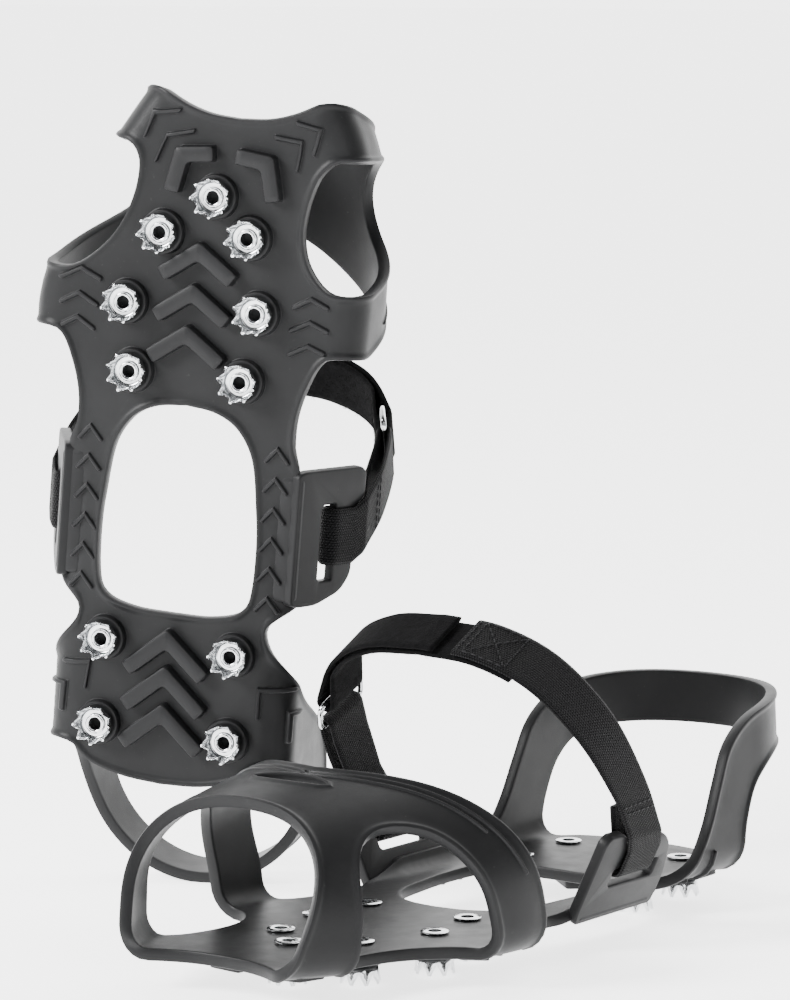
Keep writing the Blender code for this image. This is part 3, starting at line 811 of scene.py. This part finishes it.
def rivet_mesh():
    """A hollow eyelet: a flat flange on the boot's side and a rolled lip over the crown."""
    lip = CROWN_Z - CROWN_T - 0.3
    roll = [(2.85 + 0.7 * math.cos(a), lip - 0.35 - 0.6 * math.sin(a))
            for a in [math.radians(t) for t in range(-20, 201, 22)]]
    profile = [(EYELET_BORE_R, 0.9), (4.5, 0.9), (4.7, 0.75), (4.7, 0.45), (4.5, 0.3), (EYELET_R, 0.3),
               (EYELET_R, lip)] + roll + [(EYELET_BORE_R, lip + 0.4)]
    return turned(profile, 40)


def ring_mesh():
    """The rectangular wire ring between the tab and the tape."""
    near = loop_point(RING_NEAR_S, RING_OFFSET)
    far = loop_point(RING_FAR_S, RING_OFFSET)
    depth = math.dist(near, far)
    corner = 2.6
    outline = [(0, -RING_HALF), (0, RING_HALF), (depth, RING_HALF), (depth, -RING_HALF)]
    path = resample_closed(round_corners(outline, corner, 8), RING_HALF / 8)
    vertices, centres = [], []
    sides = 14
    count = len(path)
    for t, across in path:
        share = t / depth
        x = near[0] + (far[0] - near[0]) * share
        z = near[1] + (far[1] - near[1]) * share
        centres.append(Vector(lay_strap(x, across, z)))
    normal = (centres[count // 4] - centres[0]).cross(centres[count // 2] - centres[0]).normalized()
    for i, centre in enumerate(centres):
        run = (centres[(i + 1) % count] - centres[i - 1]).normalized()
        side = run.cross(normal).normalized()
        up = side.cross(run)
        for k in range(sides):
            a = 2 * math.pi * k / sides
            vertices.append(centre + (side * math.cos(a) + up * math.sin(a)) * WIRE_R)
    return to_mesh("ring", vertices, ring_quads(count, sides, wrapped=True))


# ---- the strap

WRAP_OFFSET = 3.1               # from the bracket's middle plane to the webbing's
LOOP = smooth([bracket_point(33, WRAP_OFFSET), (59.0, 43), (54.0, 65), (41.0, 83), (22.0, 92),
               (0.0, STRAP_TOP_Z)], 24)
LOOP_LENGTH = sum(math.dist(a, b) for a, b in zip(LOOP, LOOP[1:]))


def loop_point(s, offset):
    """A point of the strap's loop: s along it from its crest, positive to the outer side of the foot,
    and offset outwards from it."""
    line = LOOP[::-1]
    reach = abs(s)
    for a, b in zip(line, line[1:]):
        length = math.dist(a, b)
        if reach <= length or b == line[-1]:
            t = reach / length
            x = a[0] + (b[0] - a[0]) * t + (a[1] - b[1]) / length * offset
            z = a[1] + (b[1] - a[1]) * t + (b[0] - a[0]) / length * offset
            return (x if s >= 0 else -x), z
        reach -= length
    return None


def lay_strap(x, across, z):
    """Lean the strap towards the toe as it rises, and tilt it with the instep."""
    rise = max(0.0, z - 20) / (STRAP_TOP_Z - 20)
    tilt = STRAP_TILT * smoothstep((z - 26) / 45)
    return (x, BRACKET_Y + STRAP_LEAN * rise + across * math.cos(tilt), z - across * math.sin(tilt))


def steps_between(a, b, count):
    return [a + (b - a) * k / count for k in range(count + 1)]


def bracket_turn(side):
    """The webbing's turn round the top bar of the bracket, from outside to inside."""
    turn = [bracket_point(SLOT_HIGH + 6, WRAP_OFFSET), bracket_point(SLOT_HIGH, WRAP_OFFSET)]
    for k in range(1, 8):
        a = math.pi * k / 8
        turn.append(bracket_point(SLOT_HIGH - WRAP_OFFSET * math.sin(a), WRAP_OFFSET * math.cos(a)))
    turn += [bracket_point(up, -WRAP_OFFSET) for up in (SLOT_HIGH, SLOT_HIGH + 8, 31)]
    return [(side * x, z) for x, z in turn]


def band_mesh(path, thickness, closed=False):
    """A woven band along a line of the loop's plane, with rounded selvedges. Its points carry their
    place on the band, in millimetres, in the attribute weave."""
    columns, step = 16, 1.0
    path = resample_closed(path, step) if closed else resample(path, step)
    half = thickness / 2
    section = []
    for side in (1, -1):
        for k in range(columns + 1):
            across = side * STRAP_WIDTH / 2 * (1 - 2 * k / columns)
            edge = max(0.0, abs(across) - (STRAP_WIDTH / 2 - half))
            section.append((across, side * math.sqrt(max(0.04, half * half - edge * edge))))
    count = len(path)
    vertices, weave = [], []
    travelled = 0.0
    for i, (x, z) in enumerate(path):
        before, after = neighbours(path, i, closed)
        run = Vector((after[0] - before[0], after[1] - before[1])).normalized()
        normal = Vector((-run.y, run.x))
        if i:
            travelled += math.dist(path[i - 1], path[i])
        for across, out in section:
            vertices.append(lay_strap(x + normal.x * out, across, z + normal.y * out))
            weave.append((across, travelled, out))
    ring = len(section)
    faces = ring_quads(count, ring, wrapped=closed)
    if not closed:
        faces.append(tuple(range(ring)))
        faces.append(tuple(range((count - 1) * ring, count * ring)))
    mesh = bpy.data.meshes.new("band")
    mesh.from_pydata(vertices, [], faces)
    attribute = mesh.attributes.new("weave", "FLOAT_VECTOR", "POINT")
    attribute.data.foreach_set("vector", np.array(weave, np.float32).ravel())
    return clean(mesh, split_caps=True)


def webbing_path():
    path = [loop_point(s, 0) for s in steps_between(WEBBING_END_S, LOOP_LENGTH, LOOP_STEPS)]
    return path + bracket_turn(1) + [loop_point(LOOP_LENGTH - 12, -3.2)]


def fold(s, radius, side):
    """Half a turn round a bar of the ring, from under it to over it, past its side of the loop."""
    turns = [math.pi * k / 12 for k in range(13)]
    return [loop_point(s + side * radius * math.sin(a), RING_OFFSET - radius * math.cos(a)) for a in turns]


def tab_path():
    near = RING_NEAR_S
    outer = [loop_point(s, 0) for s in steps_between(near - 3, -LOOP_LENGTH, 20)]
    inner = [loop_point(-LOOP_LENGTH + 10, -4.6), loop_point(near - 8, -4.4)]
    return outer + bracket_turn(-1) + inner + fold(near, WIRE_R + 0.3 + STRAP_T / 2, 1)


def tape_path():
    path = [loop_point(s, -2.2) for s in steps_between(TAPE_END_S, RING_FAR_S + 14, LOOP_STEPS)]
    return path + fold(RING_FAR_S, FOLD_R, -1)


def tail_path():
    path = [loop_point(RING_FAR_S + 1, RING_OFFSET + FOLD_R)]
    return path + [loop_point(s, 0) for s in steps_between(RING_FAR_S + 10, TAIL_END_S, LOOP_STEPS)]


def stitches(rows, lift, length=2.2, gap=0.7, thread=0.28):
    """Sewn thread. rows are lines of (s, across) on the strap's loop, raised by lift."""
    vertices, faces = [], []
    sides, stations = 6, 5
    for row in rows:
        points = resample(row, (length + gap) / 2)
        for a, b in zip(points[::2], points[1::2]):
            start = len(vertices)
            for k in range(stations):
                t = k / (stations - 1)
                s, across = a[0] + (b[0] - a[0]) * t * 1.5, a[1] + (b[1] - a[1]) * t * 1.5
                bow = math.sin(math.pi * t) * 0.22 - 0.12
                size = thread * (0.75 + 0.25 * math.sin(math.pi * t))
                run = Vector((b[0] - a[0], b[1] - a[1])).normalized()
                side = Vector((-run.y, run.x))
                for j in range(sides):
                    angle = 2 * math.pi * j / sides
                    shift = side * math.cos(angle) * size
                    x, z = loop_point(s + shift.x, lift + bow + math.sin(angle) * size)
                    vertices.append(lay_strap(x, across + shift.y, z))
            faces += ring_quads(stations, sides, start)
            faces.append(tuple(start + j for j in range(sides)))
            faces.append(tuple(start + (stations - 1) * sides + j for j in range(sides)))
    return to_mesh("stitches", vertices, faces)


def pile(path, outward, count, seed):
    """The nap of the tape: short bent fibres standing on its face."""
    rng = random.Random(seed)
    line = resample(path, 0.5)
    vertices, faces = [], []
    for _ in range(count):
        place = rng.random() * (len(line) - 2)
        i = int(place)
        t = place - i
        a, b = Vector(line[i]), Vector(line[i + 1])
        run = (b - a).normalized()
        normal = Vector((-run.y, run.x)) * outward
        across = rng.uniform(-1, 1) * (STRAP_WIDTH / 2 - 0.25)
        base = a + (b - a) * t + normal * (TAPE_T / 2 - 0.1)
        length = rng.uniform(0.7, 1.6)
        heading = rng.uniform(0, 2 * math.pi)
        lean = rng.uniform(0.3, 1.1)
        size = rng.uniform(0.06, 0.11)
        start = len(vertices)
        for k in range(3):
            share = k / 2
            forward = math.sin(lean * (0.6 + share)) * length * share
            rise = math.cos(lean * (0.6 + share)) * length * share * 0.8
            spot = base + normal * rise + run * math.cos(heading) * forward
            over = across + math.sin(heading) * forward
            for j in range(3):
                angle = 2 * math.pi * j / 3
                wide = size * (1 - 0.6 * share)
                vertices.append(lay_strap(spot.x + run.x * math.cos(angle) * wide,
                                          over + math.sin(angle) * wide,
                                          spot.y + run.y * math.cos(angle) * wide))
        faces += ring_quads(3, 3, start)
        faces.append((start, start + 1, start + 2))
        faces.append((start + 6, start + 7, start + 8))
    mesh = bpy.data.meshes.new("pile")
    mesh.from_pydata(vertices, [], faces)
    return mesh


# ---- materials

class Nodes:
    """Short calls for building the node tree of a material or world."""

    def __init__(self, owner, shader="Principled BSDF"):
        owner.use_nodes = True
        self.owner = owner
        self.tree = owner.node_tree
        self.shader = self.tree.nodes[shader]

    def add(self, kind, **values):
        """A new node. values are its settings, or its sockets with their spaces as underscores."""
        node = self.tree.nodes.new(kind)
        for key, value in values.items():
            socket = key.replace("_", " ")
            if socket in node.inputs:
                node.inputs[socket].default_value = value
            else:
                setattr(node, key, value)
        return node

    def link(self, a, b):
        self.tree.links.new(a, b)

    def feed(self, socket, value):
        """Link a value to one of the shader's sockets."""
        self.link(value, self.shader.inputs[socket])

    def fix(self, **values):
        """Set the shader's own sockets."""
        for key, value in values.items():
            self.shader.inputs[key.replace("_", " ")].default_value = value

    def noise(self, vector, scale, detail=4.0, roughness=0.55):
        node = self.add("ShaderNodeTexNoise", Scale=scale, Detail=detail, Roughness=roughness)
        self.link(vector, node.inputs["Vector"])
        return node.outputs["Fac"]

    def ramp(self, value, low, high, colours):
        node = self.add("ShaderNodeValToRGB")
        for element, position, colour in zip(node.color_ramp.elements, (low, high), colours):
            element.position = position
            element.color = (*colour, 1)
        self.link(value, node.inputs["Fac"])
        return node.outputs["Color"]

    def span(self, value, low, high, to_low, to_high, **settings):
        node = self.add("ShaderNodeMapRange", From_Min=low, From_Max=high, To_Min=to_low, To_Max=to_high,
                        **settings)
        self.link(value, node.inputs["Value"])
        return node.outputs["Result"]

    def maths(self, operation, a, b=0.0):
        node = self.add("ShaderNodeMath", operation=operation)
        for socket, value in zip(node.inputs, (a, b)):
            if isinstance(value, (int, float)):
                socket.default_value = value
            else:
                self.link(value, socket)
        return node.outputs["Value"]

    def bump(self, height, distance, strength, normal=None):
        node = self.add("ShaderNodeBump", Distance=distance, Strength=strength)
        self.link(height, node.inputs["Height"])
        if normal:
            self.link(normal, node.inputs["Normal"])
        return node.outputs["Normal"]

    def place(self):
        return self.add("ShaderNodeTexCoord").outputs["Object"]


def new_material(name):
    return Nodes(bpy.data.materials.new(name))


def mix_colour(nodes, factor, a, b):
    node = nodes.add("ShaderNodeMix", data_type="RGBA")
    nodes.link(factor, node.inputs["Factor"])
    for name, value in (("A", a), ("B", b)):
        socket = [s for s in node.inputs if s.name == name and s.type == "RGBA"][0]
        if isinstance(value, tuple):
            socket.default_value = (*value, 1)
        else:
            nodes.link(value, socket)
    return [s for s in node.outputs if s.type == "RGBA"][0]


def rubber_material():
    """Charcoal moulded rubber: fine grain, faint flow marks, and dull rubbed edges."""
    nodes = new_material("moulded_rubber")
    where = nodes.place()
    cloudy = nodes.noise(where, 22, 5)
    grain = nodes.noise(where, 2600, 3)
    flow = nodes.noise(where, 140, 3)
    base = nodes.ramp(cloudy, 0.3, 0.7, [(0.0088, 0.0089, 0.0093), (0.0130, 0.0132, 0.0137)])
    worn = nodes.add("ShaderNodeNewGeometry").outputs["Pointiness"]
    edge = nodes.span(worn, 0.52, 0.60, 0.0, 0.55)
    colour = mix_colour(nodes, edge, base, (0.023, 0.023, 0.024))
    dust = nodes.span(nodes.noise(where, 900, 2), 0.70, 0.76, 0.0, 0.35)
    colour = mix_colour(nodes, dust, colour, (0.035, 0.035, 0.0345))
    nodes.feed("Base Color", colour)
    nodes.feed("Roughness", nodes.span(flow, 0.3, 0.7, 0.38, 0.45))
    nodes.fix(Specular_IOR_Level=0.12)
    soft = nodes.bump(flow, 0.0002, 0.12)
    nodes.feed("Normal", nodes.bump(grain, 0.00006, 0.5, soft))
    return nodes.owner


def steel_material(name, rough):
    """Bright plated steel with tool marks and a slightly uneven sheen."""
    nodes = new_material(name)
    where = nodes.place()
    patch = nodes.noise(where, 700, 3)
    fine = nodes.noise(where, 5200, 2)
    colour = nodes.ramp(patch, 0.3, 0.7, [(0.5, 0.51, 0.52), (0.78, 0.79, 0.80)])
    nodes.feed("Base Color", colour)
    nodes.fix(Metallic=1.0)
    nodes.feed("Roughness", nodes.span(patch, 0.3, 0.7, rough, rough + 0.12))
    wavy = nodes.bump(patch, 0.0002, 0.15)
    nodes.feed("Normal", nodes.bump(fine, 0.00003, 0.15, wavy))
    return nodes.owner


def webbing_material():
    """Black nylon webbing: warp cords along the band with weft bumps across them, and painted shade that
    darkens the colour in the hollows between them.
    """
    nodes = new_material("nylon_webbing")
    weave = nodes.add("ShaderNodeAttribute", attribute_name="weave").outputs["Vector"]
    parts = nodes.add("ShaderNodeSeparateXYZ")
    nodes.link(weave, parts.inputs["Vector"])
    across, along = parts.outputs["X"], parts.outputs["Y"]
    pitch = 0.95
    column = nodes.maths("MULTIPLY", across, math.pi / pitch)
    row = nodes.maths("MULTIPLY", along, math.pi / pitch)
    swap = nodes.maths("MULTIPLY", nodes.maths("FLOOR", nodes.maths("DIVIDE", across, pitch)), math.pi / 2)
    cord = nodes.maths("ABSOLUTE", nodes.maths("SINE", column))
    knot = nodes.maths("ABSOLUTE", nodes.maths("SINE", nodes.maths("ADD", row, swap)))
    height = nodes.maths("MULTIPLY", nodes.maths("POWER", cord, 0.6), nodes.maths("POWER", knot, 0.6))
    where = nodes.place()
    fibre = nodes.noise(where, 4200, 3)
    # painted shade: the colour darkens with the weave's height into the hollows between cords and weft
    # bumps, over a random fibre tone
    weave_shade_and_fibre_tone = nodes.maths("MULTIPLY", height, nodes.span(fibre, 0.3, 0.7, 0.55, 1.15))
    colour = nodes.ramp(weave_shade_and_fibre_tone, 0.1, 1.0, [(0.0005, 0.0005, 0.0006), (0.0075, 0.0075, 0.0082)])
    nodes.feed("Base Color", colour)
    nodes.feed("Roughness", nodes.span(fibre, 0.3, 0.7, 0.55, 0.75))
    nodes.fix(Specular_IOR_Level=0.1, Sheen_Weight=0.01, Sheen_Roughness=0.4)
    deep = nodes.bump(height, 0.0005, 1.0)
    nodes.feed("Normal", nodes.bump(fibre, 0.00006, 0.4, deep))
    return nodes.owner


def tape_material():
    """Black brushed loop tape: a clumped, light-drinking nap."""
    nodes = new_material("loop_tape")
    where = nodes.place()
    clump = nodes.noise(where, 520, 5, 0.7)
    fuzz = nodes.noise(where, 3600, 4, 0.7)
    mixed = nodes.maths("ADD", nodes.maths("MULTIPLY", clump, 0.6), nodes.maths("MULTIPLY", fuzz, 0.4))
    colour = nodes.ramp(mixed, 0.35, 0.68, [(0.0004, 0.0004, 0.0005), (0.005, 0.005, 0.0054)])
    nodes.feed("Base Color", colour)
    nodes.fix(Roughness=0.95, Specular_IOR_Level=0.05, Sheen_Weight=0.015, Sheen_Roughness=0.55)
    rough = nodes.bump(clump, 0.0006, 0.9)
    nodes.feed("Normal", nodes.bump(fuzz, 0.0002, 0.8, rough))
    return nodes.owner


def thread_material():
    """Twisted black polyester thread."""
    nodes = new_material("sewing_thread")
    twist = nodes.noise(nodes.place(), 6000, 2)
    colour = nodes.ramp(twist, 0.35, 0.65, [(0.003, 0.003, 0.0033), (0.016, 0.016, 0.0175)])
    nodes.feed("Base Color", colour)
    nodes.fix(Roughness=0.5, Specular_IOR_Level=0.15)
    nodes.feed("Normal", nodes.bump(twist, 0.00005, 0.6))
    return nodes.owner


# ---- the pair

def build_pair():
    rubber = rubber_material()
    studs = [("crown", crown_mesh(), steel_material("crown_steel", 0.09)),
             ("rivet", rivet_mesh(), steel_material("eyelet_steel", 0.1))]
    wire = steel_material("ring_wire", 0.08)
    webbing = webbing_material()
    tape = tape_material()
    thread = thread_material()

    harness = harness_mesh()
    strap = band_mesh(webbing_path(), STRAP_T)
    tab = band_mesh(tab_path(), STRAP_T, closed=True)
    loop = band_mesh(tape_path(), TAPE_T)
    tail = band_mesh(tail_path(), TAPE_T)
    edge = STRAP_WIDTH / 2 - 1.6
    lift = STRAP_T / 2 + 0.02

    def cross_seam(first, second):
        return stitches([[(first, -edge), (first, edge)], [(second, edge), (second, -edge)]], lift)

    sewn_end = stitches([[(15.4, -edge), (15.4, edge)], [(17.8, edge), (17.8, -edge)],
                         [(33, -edge), (33, edge)], [(18, -edge), (33, -edge)], [(18, edge), (33, edge)],
                         [(18, -edge), (33, edge)], [(18, edge), (33, -edge)]], lift)
    tab_seam = cross_seam(9 - LOOP_LENGTH, 11.4 - LOOP_LENGTH)
    outer_seam = cross_seam(LOOP_LENGTH - 9, LOOP_LENGTH - 11.4)
    # Name, mesh, body, slot, the CAD nodes that it stands for, and surface
    strap_pieces = [
        ("woven_strap", strap, "strap", "webbing", ["strap_webbing"], webbing),
        ("woven_ring_tab", tab, "strap", "webbing", ["ring_tab"], webbing),
        ("loop_tape_band", loop, "strap", "hook_and_loop", ["loop_tape"], tape),
        ("loop_tape_nap", pile(tape_path(), 1, 1400, 6), "strap", "hook_and_loop", [], tape),
        ("tail_band", tail, "tail", "hook_and_loop", ["hook_tail"], tape),
        ("tail_nap", pile(tail_path(), -1, 3200, 5), "tail", "hook_and_loop", [], tape),
        ("wire_ring", ring_mesh(), "ring", "steel", ["ring"], wire),
        ("sewn_end_stitches", sewn_end, "strap", "webbing", [], thread),
        ("tab_stitches", tab_seam, "strap", "webbing", [], thread),
        ("bracket_stitches", outer_seam, "strap", "webbing", [], thread)]

    for foot in ("left", "right"):
        lay_out(harness, "rubber_harness", foot, "cleat", ["harness"], rubber, 40)
        for number, (x, y) in enumerate(STUDS, 1):
            for name, source, surface in studs:
                mesh = source.copy()
                mesh.transform(Matrix.Translation((x, y, 0)) @ Matrix.Rotation(number * 0.7, 4, "Z"))
                node = f"{name}_{number:02d}"
                lay_out(mesh, f"steel_{node}", foot, "cleat", [node], surface, 50)
                bpy.data.meshes.remove(mesh)
        for name, mesh, body, slot, nodes, surface in strap_pieces:
            lay_out(mesh, name, foot, body, nodes, surface, 0)


# ---- floor, light and camera

def area_light(name, place, target, size, power):
    data = bpy.data.lights.new(name, "AREA")
    data.shape = "RECTANGLE"
    data.size, data.size_y = size
    data.energy = power
    light = scratch(name, data)
    light.location = place
    light.rotation_euler = (Vector(target) - Vector(place)).to_track_quat("-Z", "Y").to_euler()


def studio():
    """A pale floor that glows like a lit backdrop, a surround that is bright behind the object and
    dim in front of it, and three soft lights."""
    bpy.ops.mesh.primitive_plane_add(size=60)
    floor = bpy.context.object
    floor.name = "studio_floor"
    nodes = new_material("studio_floor")
    nodes.fix(Base_Color=(0.9, 0.9, 0.9, 1), Roughness=0.8)
    nodes.fix(Emission_Color=(1, 1, 1, 1), Emission_Strength=2.75)
    floor.data.materials.append(nodes.owner)
    floor.location.z = -0.0004
    nodes = Nodes(bpy.data.worlds.new("studio"), "Background")
    bpy.context.scene.world = nodes.owner
    side = nodes.add("ShaderNodeVectorMath", operation="DOT_PRODUCT")
    side.inputs[1].default_value = (-math.sin(CAMERA_AZIMUTH), math.cos(CAMERA_AZIMUTH), 0.0)
    nodes.link(nodes.add("ShaderNodeTexCoord").outputs["Generated"], side.inputs[0])
    nodes.feed("Strength", nodes.span(side.outputs["Value"], -0.15, 0.9, 0.05, 4.2,
                                      interpolation_type="SMOOTHSTEP"))
    nodes.fix(Color=(1, 1, 1, 1))
    centre = (0, 0, 0.12)
    area_light("key", (-0.7, -1.25, 0.95), centre, (0.6, 0.6), 66)
    area_light("fill", (1.5, -0.9, 0.8), centre, (0.5, 1.2), 6)
    area_light("rim", (0.2, 1.4, 1.2), centre, (1.4, 0.8), 6)


def camera():
    azimuth, elevation, distance = CAMERA_AZIMUTH, math.radians(7.0), 1.5
    pan, drop = 0.058831, 0.005824
    aim = Vector((LEFT_PLACE[0] - pan * math.cos(azimuth), LEFT_PLACE[1] - 0.1 - pan * math.sin(azimuth),
                  0.15 - drop))
    away = Vector((math.sin(azimuth) * math.cos(elevation), -math.cos(azimuth) * math.cos(elevation),
                   math.sin(elevation)))
    data = bpy.data.cameras.new("camera")
    data.lens = 155.2
    view = scratch("camera", data)
    view.location = aim + away * distance
    view.rotation_euler = (-away).to_track_quat("-Z", "Y").to_euler()
    bpy.context.scene.camera = view


camera()
studio()
build_pair()
